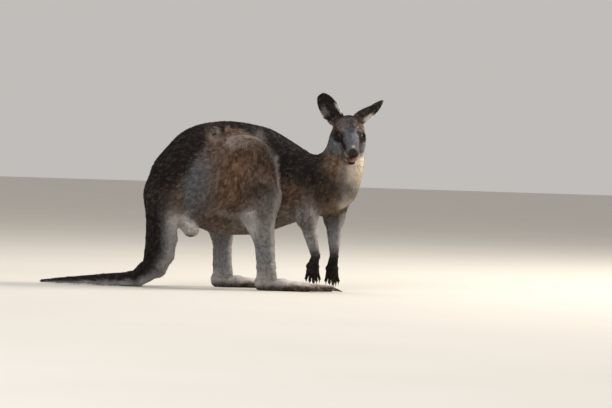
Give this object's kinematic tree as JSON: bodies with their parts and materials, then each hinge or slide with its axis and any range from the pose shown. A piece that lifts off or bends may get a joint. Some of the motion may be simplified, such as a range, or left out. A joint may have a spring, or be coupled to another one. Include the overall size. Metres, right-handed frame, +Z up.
{
  "type": "eastern grey kangaroo",
  "caption": "Life-size kangaroo standing on all its long hind feet and thick tail, small forepaws hanging, head turned to its right with one ear swung out.",
  "frame": {"origin": "on the floor, under the centre of the model's bounding box", "axes": "+X the way the body faces, +Y to the animal's left, +Z up"},
  "size_m": [1.3484, 0.396, 0.7924],
  "materials": {
    "face_coat": "short grey-brown fur, paler on the cheeks and darker round the eyes",
    "pale_coat": "pale grey fur of the underside",
    "nose_skin": "bare dark skin, finely pebbled and a little moist",
    "tongue": "moist pink flesh",
    "eye": "very dark brown, wet",
    "ear_coat": "thin dark fur with pale hairs along the edge and inside",
    "back_coat": "dense brown fur, almost black along the back and down the tail",
    "flank_coat": "dense grey-brown fur with a rusty centre on the thigh",
    "hand_coat": "short black-brown fur",
    "claw": "smooth dark horn",
    "leg_coat": "short pale grey fur, mottled with brown"
  },
  "bodies": {
    "root": {"head": "face_coat", "jaw": "pale_coat", "nose": "nose_skin", "tongue": "tongue", "eye_right": "eye", "eye_left": "eye", "ear_right": "ear_coat", "ear_left": "ear_coat", "neck": "back_coat", "upper_arm_right": "flank_coat", "forearm_right": "flank_coat", "hand_right": "hand_coat", "claw_hand_right_1": "claw", "claw_hand_right_2": "claw", "claw_hand_right_3": "claw", "claw_hand_right_4": "claw", "claw_hand_right_5": "claw", "upper_arm_left": "flank_coat", "forearm_left": "flank_coat", "hand_left": "hand_coat", "claw_hand_left_1": "claw", "claw_hand_left_2": "claw", "claw_hand_left_3": "claw", "claw_hand_left_4": "claw", "claw_hand_left_5": "claw", "thigh_right": "flank_coat", "shank_right": "leg_coat", "foot_right": "leg_coat", "claw_foot_right_long": "claw", "claw_foot_right_outer": "claw", "claw_foot_right_inner_a": "claw", "claw_foot_right_inner_b": "claw", "thigh_left": "flank_coat", "shank_left": "leg_coat", "foot_left": "leg_coat", "claw_foot_left_long": "claw", "claw_foot_left_outer": "claw", "claw_foot_left_inner_a": "claw", "claw_foot_left_inner_b": "claw", "chest": "back_coat", "belly": "back_coat", "rump": "back_coat", "tail_1": "back_coat", "tail_2": "back_coat", "tail_3": "back_coat", "tail_4": "back_coat", "tail_5": "back_coat", "vent": "pale_coat"}
  },
  "joints": []
}
